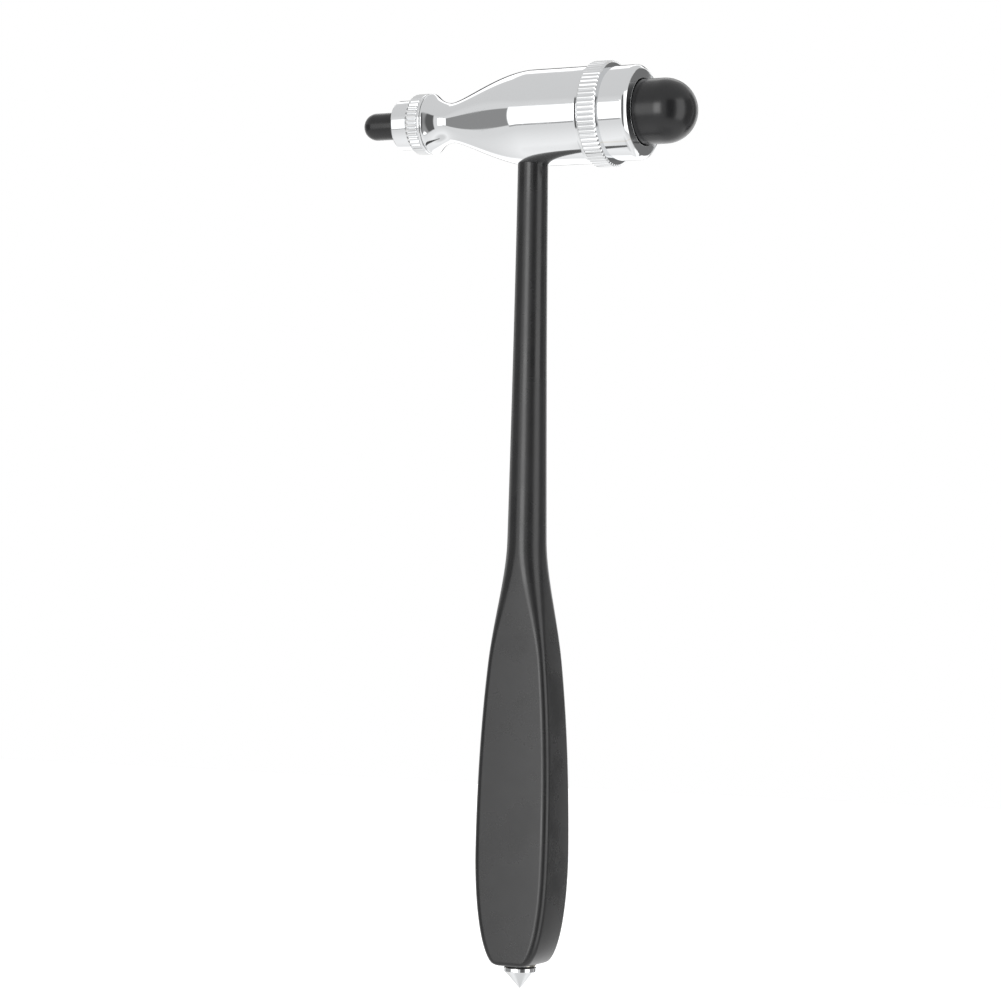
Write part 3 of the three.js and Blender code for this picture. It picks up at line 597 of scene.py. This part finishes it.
# ------------------------------------------------------------------ large cap
# A union nut, turned and chrome plated. A fine straight knurl runs round its rear ring, and the
# lip at its nose holds the mallet by its flange. Its bore is threaded for the barrel's spigot.
cap_low, cap_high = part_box("large_cap")
CAP_REAR = cap_low[0] / MM
CAP_FACE = cap_high[0] / MM
RING_RADIUS = 13.7
RING_WIDTH = 5.2
RING_TEETH = 66
TOOTH_DEPTH = 0.3
NOSE_RADIUS = 12.2
NOSE_BEVEL = 1.1
LIP_RADIUS = 8.75
LIP_REAR = CAP_FACE - 4.1
NUT_RADIUS = 10.1
WASHER_SEAT = CAP_REAR + 0.85
ring_front = CAP_REAR + RING_WIDTH
cap_outline = eased([
    (LIP_RADIUS, CAP_FACE, 0.06),
    (LIP_RADIUS, LIP_REAR),
    (NUT_RADIUS + 0.5, LIP_REAR),
    (NUT_RADIUS + 0.5, LIP_REAR - 1.2),
])
cap_outline += thread_run(NUT_RADIUS, LIP_REAR - 1.3, WASHER_SEAT + 0.1, LARGE_PITCH)
cap_outline += eased([
    (NUT_RADIUS + 0.1, WASHER_SEAT),
    (WASHER_OUTER + 0.05, WASHER_SEAT),
    (WASHER_OUTER + 0.05, CAP_REAR, 0.1),
    (RING_RADIUS - 0.6, CAP_REAR, 0.08),
    (RING_RADIUS, CAP_REAR + 0.35, 0.1),
    (RING_RADIUS, ring_front - 0.35, 0.1),
    (RING_RADIUS - 0.6, ring_front, 0.1),
    (NOSE_RADIUS, ring_front),
    (NOSE_RADIUS, ring_front + 1.5),
    (NOSE_RADIUS, CAP_FACE - NOSE_BEVEL, 0.55),
    (NOSE_RADIUS - NOSE_BEVEL, CAP_FACE, 0.3),
])
cap_nut = screw_thread(LARGE_PITCH, 0.5, WASHER_SEAT + 0.1, LIP_REAR - 1.3, outward=True)


def knurled_ring(ring_radius, teeth, depth, narrowness):
    """Relief of straight teeth, on whatever stands near the ring's full radius."""
    def relief(radius, station, angle):
        reach = min(max((radius - (ring_radius - 0.6)) / 0.6, 0), 1)
        valley = (0.5 - 0.5 * math.cos(angle * teeth)) ** narrowness
        return -depth * valley * reach
    return relief


ring_knurl = knurled_ring(RING_RADIUS, RING_TEETH, TOOTH_DEPTH, 3.0)


def cap_relief(radius, station, angle):
    if abs(radius - NUT_RADIUS) < 0.01:
        return cap_nut(radius, station, angle)
    return ring_knurl(radius, station, angle)


large_cap = turned("large_end_cap", cap_outline, along_head, RING_TEETH * 10, cap_relief, looped=True)
large_cap.data.materials.append(HEAD_CHROME)
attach(large_cap, "large_cap_end")
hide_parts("large_cap")

# ------------------------------------------------------------------ large mallet
# Moulded black rubber with a domed striking end. Its flange is clamped between the cap's lip and
# the backing disc.
mallet_low, mallet_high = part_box("large_mallet")
MALLET_RADIUS = 8.4
FLANGE_RADIUS = 9.95
FLANGE_FRONT = mallet_low[0] / MM + 2.4
dome_centre = mallet_high[0] / MM - MALLET_RADIUS
mallet_outline = eased([
    (0, mallet_low[0] / MM),
    (FLANGE_RADIUS, mallet_low[0] / MM, 0.3),
    (FLANGE_RADIUS, FLANGE_FRONT, 0.3),
    (MALLET_RADIUS + 0.02, FLANGE_FRONT),
    (MALLET_RADIUS, FLANGE_FRONT + 1.0),
    (MALLET_RADIUS, dome_centre - 0.2),
])
for k in range(40):
    bend = math.radians(90 * k / 40)
    mallet_outline.append((MALLET_RADIUS * math.cos(bend), dome_centre + MALLET_RADIUS * math.sin(bend)))
mallet_outline.append((0, mallet_high[0] / MM))
mallet = turned("large_mallet_rubber", mallet_outline, along_head, 192)
MALLET_RUBBER = moulded("mallet_rubber", (0.004, 0.004, 0.0045), (0.014, 0.014, 0.015),
                        0.17, 0.25, 2600.0, 0.000002)
mallet.data.materials.append(MALLET_RUBBER)
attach(mallet, "large_cap_end")
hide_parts("large_mallet")

# ------------------------------------------------------------------ seam ring
# A thin smooth ring of plated metal between the barrel's flare and the small cap, which shows as
# a bright line at the seam.
seam_low, seam_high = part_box("small_seam_ring")
seam_ring = washer_ring("seam_ring", 6.3, 8.0, seam_low[0] / MM, seam_high[0] / MM, along_head, 0.2)
seam_ring.data.materials.append(HEAD_CHROME)
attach(seam_ring, "small_cap_ring")
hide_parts("small_seam_ring")

# ------------------------------------------------------------------ small cap's seal
# A soft rubber ring that lies on the end of the small spigot and keeps the brush's bore dry.
seal_low, seal_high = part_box("small_seal")
seal = washer_ring("bore_seal", BRUSH_BORE_RADIUS, 6.18, seal_low[0] / MM, seal_high[0] / MM, along_head, 0.2)
seal.data.materials.append(SEAL_RUBBER)
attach(seal, "small_cap_seal")
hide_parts("small_seal")

# ------------------------------------------------------------------ small cap
# A turned and plated nut with a coarser rounded knurl and a plain collar. It holds the brush's
# ferrule in a socket inside, and the small mallet in a recess outside.
small_low, small_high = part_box("small_cap")
SMALL_REAR = small_high[0] / MM
COLLAR_FACE = small_low[0] / MM
SMALL_RING_RADIUS = 8.0
SMALL_RING_FRONT = SMALL_REAR - 3.7
SMALL_TEETH = 40
COLLAR_RADIUS = 6.5
SMALL_NUT_RADIUS = 6.3
SMALL_NUT_FLOOR = SMALL_REAR - 2.9
FERRULE_SOCKET = (2.45, SMALL_NUT_FLOOR - 2.65)
STEM_HOLE = (2.25, COLLAR_FACE + 2.45)
RECESS = (3.775, COLLAR_FACE + 0.8)
small_cap_outline = eased([
    (0, STEM_HOLE[1]),
    (STEM_HOLE[0], STEM_HOLE[1]),
    (STEM_HOLE[0], RECESS[1]),
    (RECESS[0], RECESS[1]),
    (RECESS[0], COLLAR_FACE, 0.12),
    (COLLAR_RADIUS - 0.4, COLLAR_FACE, 0.15),
    (COLLAR_RADIUS, COLLAR_FACE + 0.4, 0.15),
    (COLLAR_RADIUS, SMALL_RING_FRONT - 0.5),
    (COLLAR_RADIUS, SMALL_RING_FRONT),
    (SMALL_RING_RADIUS - 0.6, SMALL_RING_FRONT, 0.1),
    (SMALL_RING_RADIUS, SMALL_RING_FRONT + 0.7, 0.3),
    (SMALL_RING_RADIUS, SMALL_REAR - 0.4, 0.15),
    (SMALL_RING_RADIUS - 0.6, SMALL_REAR, 0.1),
    (SMALL_NUT_RADIUS + 0.15, SMALL_REAR),
])
small_cap_outline += thread_run(SMALL_NUT_RADIUS, SMALL_REAR - 0.15, SMALL_NUT_FLOOR + 0.2, SMALL_PITCH)
small_cap_outline += [
    (SMALL_NUT_RADIUS, SMALL_NUT_FLOOR),
    (FERRULE_SOCKET[0] + 0.2, SMALL_NUT_FLOOR),
    (FERRULE_SOCKET[0], SMALL_NUT_FLOOR - 0.2),
    FERRULE_SOCKET,
    (0, FERRULE_SOCKET[1]),
]
small_nut = screw_thread(SMALL_PITCH, 0.25, SMALL_NUT_FLOOR + 0.2, SMALL_REAR - 0.15, outward=True)
small_knurl = knurled_ring(SMALL_RING_RADIUS, SMALL_TEETH, TOOTH_DEPTH + 0.15, 0.8)


def small_cap_relief(radius, station, angle):
    if abs(radius - SMALL_NUT_RADIUS) < 0.01:
        return small_nut(radius, station, angle)
    return small_knurl(radius, station, angle)


small_cap = turned("small_end_cap", small_cap_outline, along_head, SMALL_TEETH * 10, small_cap_relief)
small_cap.data.materials.append(HEAD_CHROME)
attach(small_cap, "small_cap_end")
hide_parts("small_cap")

# ------------------------------------------------------------------ small mallet
# The same black rubber as the large one, with a stem that is pressed into the collar.
tiny_low, tiny_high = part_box("small_mallet")
TINY_RADIUS = 3.6
TINY_STEM_RADIUS = 2.2
tiny_shoulder = tiny_high[0] / MM - 1.6
tiny_centre = tiny_low[0] / MM + TINY_RADIUS
tiny_outline = [(0, tiny_low[0] / MM)]
for k in range(1, 32):
    bend = math.radians(90 * k / 32)
    tiny_outline.append((TINY_RADIUS * math.sin(bend), tiny_centre - TINY_RADIUS * math.cos(bend)))
tiny_outline += eased([
    (TINY_RADIUS, tiny_centre),
    (TINY_RADIUS, tiny_shoulder, 0.15),
    (TINY_STEM_RADIUS, tiny_shoulder),
    (TINY_STEM_RADIUS, tiny_high[0] / MM, 0.2),
    (0, tiny_high[0] / MM),
])
tiny_mallet = turned("small_mallet_rubber", tiny_outline, along_head, 128)
tiny_mallet.data.materials.append(MALLET_RUBBER)
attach(tiny_mallet, "small_cap_end")
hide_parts("small_mallet")

# ------------------------------------------------------------------ brush ferrule
# A thin brass cup pressed into the small cap, with two crimped grooves that grip the bristles.
ferrule_low, ferrule_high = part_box("brush_ferrule")
FERRULE_RADIUS = 2.4
CUP_RADIUS = 2.05
ferrule_seat, ferrule_mouth = ferrule_low[0] / MM, ferrule_high[0] / MM
CRIMPS = (ferrule_mouth - 1.6, ferrule_mouth - 3.0)
ferrule_outline = [(0, ferrule_seat), (FERRULE_RADIUS - 0.2, ferrule_seat),
                   (FERRULE_RADIUS, ferrule_seat + 0.2)]
for k in range(1, 60):
    ferrule_outline.append((FERRULE_RADIUS,
                            ferrule_seat + 0.2 + (ferrule_mouth - ferrule_seat - 0.35) * k / 60))
ferrule_outline += [
    (FERRULE_RADIUS, ferrule_mouth - 0.15),
    (FERRULE_RADIUS - 0.12, ferrule_mouth),
    (CUP_RADIUS + 0.05, ferrule_mouth),
    (CUP_RADIUS, ferrule_mouth - 0.1),
    (CUP_RADIUS, ferrule_mouth - 2.5),
    (0, ferrule_mouth - 2.5),
]


def crimped(radius, station, angle):
    if radius < FERRULE_RADIUS - 0.01:
        return 0
    return -0.16 * sum(math.exp(-((station - crimp) / 0.22) ** 2) for crimp in CRIMPS)


ferrule = turned("ferrule", ferrule_outline, along_head, 96, crimped)
FERRULE_BRASS = turned_metal("ferrule_brass", "X", (0.62, 0.47, 0.21), (0.74, 0.60, 0.32),
                             0.16, 0.3, 0.0000004, 0.000002)
ferrule.data.materials.append(FERRULE_BRASS)
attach(ferrule, "small_cap_end")
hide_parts("brush_ferrule")

# ------------------------------------------------------------------ bristles
# Separate nylon filaments set in the ferrule. They spread a little towards the end, and no two
# are quite the same length.
bristle_low, bristle_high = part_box("brush_bristles")
FILAMENTS = 230
FILAMENT_RADIUS = 0.085
FILAMENT_SIDES = 6
FILAMENT_STEPS = 8
TUFT_ROOT_RADIUS = 1.85
TUFT_END_RADIUS = 2.75
filaments = random.Random(11)
root, tuft_end = bristle_low[0] / MM, bristle_high[0] / MM
bristle_mesh = bpy.data.meshes.new("bristles")
points, quads = [], []
for k in range(FILAMENTS):
    out = math.sqrt((k + 0.5) / FILAMENTS)
    around = k * math.pi * (3 - math.sqrt(5))
    length = tuft_end - root - filaments.uniform(0, 0.7) - 0.5 * out ** 4
    lean = filaments.uniform(-0.08, 0.08)
    sway = filaments.uniform(-0.1, 0.1)
    first = len(points)
    for step in range(FILAMENT_STEPS + 1):
        t = step / FILAMENT_STEPS
        spread = TUFT_ROOT_RADIUS + (TUFT_END_RADIUS - TUFT_ROOT_RADIUS) * max(0, t * 1.15 - 0.15) ** 1.4
        reach = min(out * spread + lean * t * out, TUFT_END_RADIUS)
        angle = around + sway * t
        thick = FILAMENT_RADIUS * (1 if step < FILAMENT_STEPS else 0.55)
        for side in range(FILAMENT_SIDES):
            turn = 2 * math.pi * side / FILAMENT_SIDES
            points.append(along_head(reach * math.cos(angle) + thick * math.cos(turn),
                                     reach * math.sin(angle) + thick * math.sin(turn), root + length * t))
    for step in range(FILAMENT_STEPS):
        for side in range(FILAMENT_SIDES):
            a = first + step * FILAMENT_SIDES + side
            b = first + step * FILAMENT_SIDES + (side + 1) % FILAMENT_SIDES
            quads.append((a, b, b + FILAMENT_SIDES, a + FILAMENT_SIDES))
    quads.append(tuple(first + side for side in reversed(range(FILAMENT_SIDES))))
    quads.append(tuple(first + FILAMENT_STEPS * FILAMENT_SIDES + side for side in range(FILAMENT_SIDES)))
bristle_mesh.from_pydata(points, [], quads)
bristle_mesh.shade_smooth()
bristles = bpy.data.objects.new("bristles", bristle_mesh)
bpy.context.scene.collection.objects.link(bristles)
BRISTLE_NYLON, nylon_tree, nylon = blank_material("bristle_nylon")
nylon_place = nylon_tree.nodes.new("ShaderNodeTexCoord").outputs["Object"]
streaks = add_node(nylon_tree, "ShaderNodeMapping", Vector=nylon_place)
streaks.inputs["Scale"].default_value = (0.05, 1.0, 1.0)
tints = add_node(nylon_tree, "ShaderNodeTexNoise", Vector=streaks.outputs[0], Scale=2600.0, Detail=2.0)
nylon_tone = add_node(nylon_tree, "ShaderNodeMix", {"data_type": "RGBA"}, Factor=tints.outputs["Fac"])
nylon_tone.inputs[6].default_value = (0.62, 0.59, 0.50, 1)
nylon_tone.inputs[7].default_value = (0.88, 0.86, 0.79, 1)
nylon_tree.links.new(nylon_tone.outputs[2], nylon.inputs["Base Color"])
nylon_gloss = add_node(nylon_tree, "ShaderNodeMapRange", Value=tints.outputs["Fac"], To_Min=0.3, To_Max=0.5)
nylon_tree.links.new(nylon_gloss.outputs[0], nylon.inputs["Roughness"])
bristles.data.materials.append(BRISTLE_NYLON)
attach(bristles, "small_cap_end")
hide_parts("brush_bristles")

# ------------------------------------------------------------------ handle
# One moulding of black plastic over a steel rod: a flat paddle grip that narrows to a round shaft.
# Its top is hollowed to sit under the barrel, and its foot is bored for the tip's insert.
grip_low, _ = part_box("handle_grip")
HANDLE_FOOT = grip_low[2] / MM
GRIP_WIDTH = 21.2
GRIP_THICKNESS = 15.0
GRIP_EDGE = 2.0
FLAT_TOP = -7.0
WIDEST = -1.0
SHOULDER = 77.0
EDGE_OPENING = 44.0
FOOT_FLAT = 8.0
FOOT_FULLNESS = 2.4
FOOT_EDGE = 1.0
SHAFT_BOTTOM = 10.2
SHAFT_TOP = 7.8
SADDLE_CLEARANCE = 0.03
INSERT_HOLE = (3.05, HANDLE_FOOT + 9.05)
ROD_HOLE = (2.25, 19.95)
CORNER_POINTS = 20
head_axis = HEAD_HEIGHT / MM


def smooth(value, low, high):
    t = min(max((value - low) / (high - low), 0), 1)
    return t * t * (3 - 2 * t)


def shaft_diameter(height):
    rise = min(max((height - SHOULDER) / (head_axis - SHOULDER), 0), 1)
    return SHAFT_TOP + (SHAFT_BOTTOM - SHAFT_TOP) * (1 - rise) ** 1.5


def grip_thickness(height):
    if height >= SHOULDER:
        return shaft_diameter(height)
    rise = max((height - FLAT_TOP) / (SHOULDER - FLAT_TOP), 0)
    into_edge = min(max(FOOT_EDGE - (height - HANDLE_FOOT), 0), FOOT_EDGE)
    rounding = FOOT_EDGE - math.sqrt(FOOT_EDGE ** 2 - into_edge ** 2)
    return GRIP_THICKNESS - (GRIP_THICKNESS - SHAFT_BOTTOM) * rise - 2 * rounding


def handle_section(width, thickness, edge):
    """Points of a rounded rectangle, shared out evenly over its four corners."""
    points = []
    for quadrant in range(4):
        middle = (quadrant + 0.5) * math.pi / 2
        side_x, side_y = math.copysign(1, math.cos(middle)), math.copysign(1, math.sin(middle))
        for k in range(CORNER_POINTS):
            angle = (quadrant + k / (CORNER_POINTS - 1)) * math.pi / 2
            points.append((side_x * (width / 2 - edge) + edge * math.cos(angle),
                           side_y * (thickness / 2 - edge) + edge * math.sin(angle)))
    return points


def barrel_radius_at(station):
    """The barrel's radius over the handle, from the same curve that it is turned to."""
    if station >= TAPER_STATION:
        return BARREL_RADIUS
    for (r0, s0), (r1, s1) in zip(taper, taper[1:]):
        if s0 <= station <= s1:
            return r0 + (r1 - r0) * (station - s0) / (s1 - s0)
    return WAIST[0]


def saddle_height(x, y):
    reach = barrel_radius_at(x) + SADDLE_CLEARANCE
    return head_axis - math.sqrt(reach ** 2 - y ** 2)


def circle_section(radius):
    return handle_section(2 * radius, 2 * radius, radius)


handle_rows = [[(0, 0, INSERT_HOLE[1] * MM)]]
for height in (INSERT_HOLE[1], HANDLE_FOOT):
    handle_rows.append([(x * MM, y * MM, height * MM) for x, y in circle_section(INSERT_HOLE[0])])
foot_depth = WIDEST - HANDLE_FOOT
outline = []
for k in range(41):
    turn = math.radians(90 * (1 - k / 40))
    down = math.sin(turn)
    narrowing = math.sqrt(1 - down ** FOOT_FULLNESS)
    outline.append((WIDEST - foot_depth * down, FOOT_FLAT + (GRIP_WIDTH - FOOT_FLAT) * narrowing))
waist = curve_points((SHAFT_BOTTOM, SHOULDER), (GRIP_WIDTH, WIDEST), 0.2, 0.6, 70)
for width, height in reversed(waist[:-1]):
    outline.append((height, width))
for height, width in outline:
    thickness = grip_thickness(height)
    opening = smooth(height, EDGE_OPENING, SHOULDER)
    edge = GRIP_EDGE + (min(width, thickness) / 2 - GRIP_EDGE) * opening
    handle_rows.append([(x * MM, y * MM, height * MM) for x, y in handle_section(width, thickness, edge)])
for k in range(1, 41):
    row = []
    for x, y in circle_section(0.5):
        height = SHOULDER + (head_axis - BARREL_RADIUS - SHOULDER) * k / 40
        for _ in range(2):
            wide = shaft_diameter(height)
            top = saddle_height(x * wide, y * wide)
            height = SHOULDER + (top - SHOULDER) * k / 40
        row.append((x * wide * MM, y * wide * MM, height * MM))
    handle_rows.append(row)
for share in (0.97, 0.8, 0.62):
    ring = circle_section(shaft_diameter(head_axis - BARREL_RADIUS) / 2 * share)
    handle_rows.append([(x * MM, y * MM, saddle_height(x, y) * MM) for x, y in ring])
mouth = circle_section(ROD_HOLE[0])
handle_rows.append([(x * MM, y * MM, saddle_height(x, y) * MM) for x, y in mouth])
handle_rows.append([(x * MM, y * MM, ROD_HOLE[1] * MM) for x, y in mouth])
handle_rows.append([(0, 0, ROD_HOLE[1] * MM)])
handle = skinned("handle", handle_rows)
welded = bmesh.new()
welded.from_mesh(handle.data)
bmesh.ops.remove_doubles(welded, verts=welded.verts, dist=1e-7)
bmesh.ops.recalc_face_normals(welded, faces=welded.faces)
welded.to_mesh(handle.data)
welded.free()
handle.data.set_sharp_from_angle(angle=math.radians(38))
HANDLE_PLASTIC = moulded("handle_plastic", (0.010, 0.010, 0.0103), (0.019, 0.019, 0.0196),
                         0.20, 0.30, 3000.0, 0.000002, 180.0)
handle.data.materials.append(HANDLE_PLASTIC)
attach(handle, "hammer")
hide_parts("handle_grip")

# ------------------------------------------------------------------ core rod
# Drawn steel rod, moulded into the handle, with a thread cut on the end that screws into the
# barrel. It is hidden once the hammer is together.
rod_low, rod_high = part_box("core_rod")
ROD_RADIUS = 2.2
ROD_THREAD = 9.0


def upright(across, deep, height):
    return (across * MM, deep * MM, height * MM)


rod_bottom, rod_top = rod_low[2] / MM, rod_high[2] / MM
rod_outline = [
    (0, rod_bottom),
    (ROD_RADIUS - 0.3, rod_bottom),
    (ROD_RADIUS, rod_bottom + 0.3),
    (ROD_RADIUS, rod_top - ROD_THREAD - 0.2),
    *thread_run(ROD_RADIUS, rod_top - ROD_THREAD, rod_top - 0.3, 0.8),
    (ROD_RADIUS - 0.3, rod_top),
    (0, rod_top),
]
rod = turned("core_rod_steel", rod_outline, upright, 64,
             screw_thread(0.8, 0.3, rod_top - ROD_THREAD, rod_top - 0.3))
ROD_STEEL = turned_metal("rod_steel", "Z", (0.50, 0.50, 0.51), (0.62, 0.62, 0.62),
                         0.28, 0.42, 0.0000008, 0.000002)
rod.data.materials.append(ROD_STEEL)
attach(rod, "hammer")
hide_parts("core_rod")

# ------------------------------------------------------------------ tip insert
# A brass bush moulded into the handle's foot. Its flange shows as a thin ring, and its bore is
# threaded for the stud of the pointed tip.
insert_low, insert_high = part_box("tip_insert")
flange_face, insert_top = insert_low[2] / MM, insert_high[2] / MM
INSERT_FLANGE = 4.2
INSERT_BODY = 3.0
INSERT_BORE = 1.6
insert_seat = insert_top - 9.0
bore_top = flange_face + 7.2
insert_outline = [
    (0, bore_top),
    (INSERT_BORE, bore_top - 0.4),
    *thread_run(INSERT_BORE, bore_top - 0.5, flange_face + 0.3, SMALL_PITCH),
    (INSERT_BORE + 0.25, flange_face),
    (INSERT_FLANGE - 0.08, flange_face),
    (INSERT_FLANGE, flange_face + 0.08),
    (INSERT_FLANGE, insert_seat - 0.05),
    (INSERT_FLANGE - 0.05, insert_seat),
    (INSERT_BODY, insert_seat),
    (INSERT_BODY, insert_top - 0.3),
    (INSERT_BODY - 0.3, insert_top),
    (0, insert_top),
]
insert = turned("foot_insert", insert_outline, upright, 128,
                screw_thread(SMALL_PITCH, 0.22, flange_face + 0.3, bore_top - 0.5, outward=True))
INSERT_BRASS = turned_metal("insert_plated", "Z", (0.74, 0.73, 0.70), (0.70, 0.60, 0.38), 0.09, 0.2,
                            0.0000003, 0.000002)
insert.data.materials.append(INSERT_BRASS)
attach(insert, "hammer")
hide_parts("tip_insert")

# ------------------------------------------------------------------ tip washer
# A thin black washer between the insert's flange and the tip, so that the tip screws up tight.
spacer_low, spacer_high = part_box("tip_washer")
spacer = washer_ring("tip_spacer_ring", 1.62, 3.7, spacer_low[2] / MM, spacer_high[2] / MM, upright, 0.1)
spacer.data.materials.append(SEAL_RUBBER)
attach(spacer, "tip_spacer")
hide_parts("tip_washer")

# ------------------------------------------------------------------ pointed tip
# A turned and plated cone for testing the sole's reflex, with a short straight rim and a threaded
# stud that screws into the insert.
point_low, point_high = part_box("plantar_tip")
point = point_low[2] / MM
stud_top = point_high[2] / MM
TIP_RADIUS = 4.25
TIP_CONE = 4.4
TIP_RIM = point + 5.4
STUD_RADIUS = 1.5
tip_outline = [
    (0, point),
    (0.14, point + 0.02),
    (0.25, point + 0.125),
    (0.34, point + 0.25),
    (1.5, point + 0.125 + 1.25 / 4.0 * 4.275),
    *eased([
        (3.0, point + 0.125 + 2.75 / 4.0 * 4.275),
        (TIP_RADIUS, point + TIP_CONE, 0.12),
        (TIP_RADIUS, TIP_RIM, 0.12),
        (STUD_RADIUS, TIP_RIM),
    ]),
    (STUD_RADIUS - 0.2, TIP_RIM + 0.4),
    *thread_run(STUD_RADIUS, TIP_RIM + 0.5, stud_top - 0.25, SMALL_PITCH),
    (STUD_RADIUS - 0.25, stud_top),
    (0, stud_top),
]
tip = turned("pointed_tip", tip_outline, upright, 160,
             screw_thread(SMALL_PITCH, 0.22, TIP_RIM + 0.5, stud_top - 0.25))
TIP_CHROME = turned_metal("tip_chrome", "Z", (0.80, 0.81, 0.82), (0.72, 0.69, 0.62),
                          0.05, 0.12, 0.0000002, 0.0000015)
tip.data.materials.append(TIP_CHROME)
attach(tip, "tip_end")
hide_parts("plantar_tip")
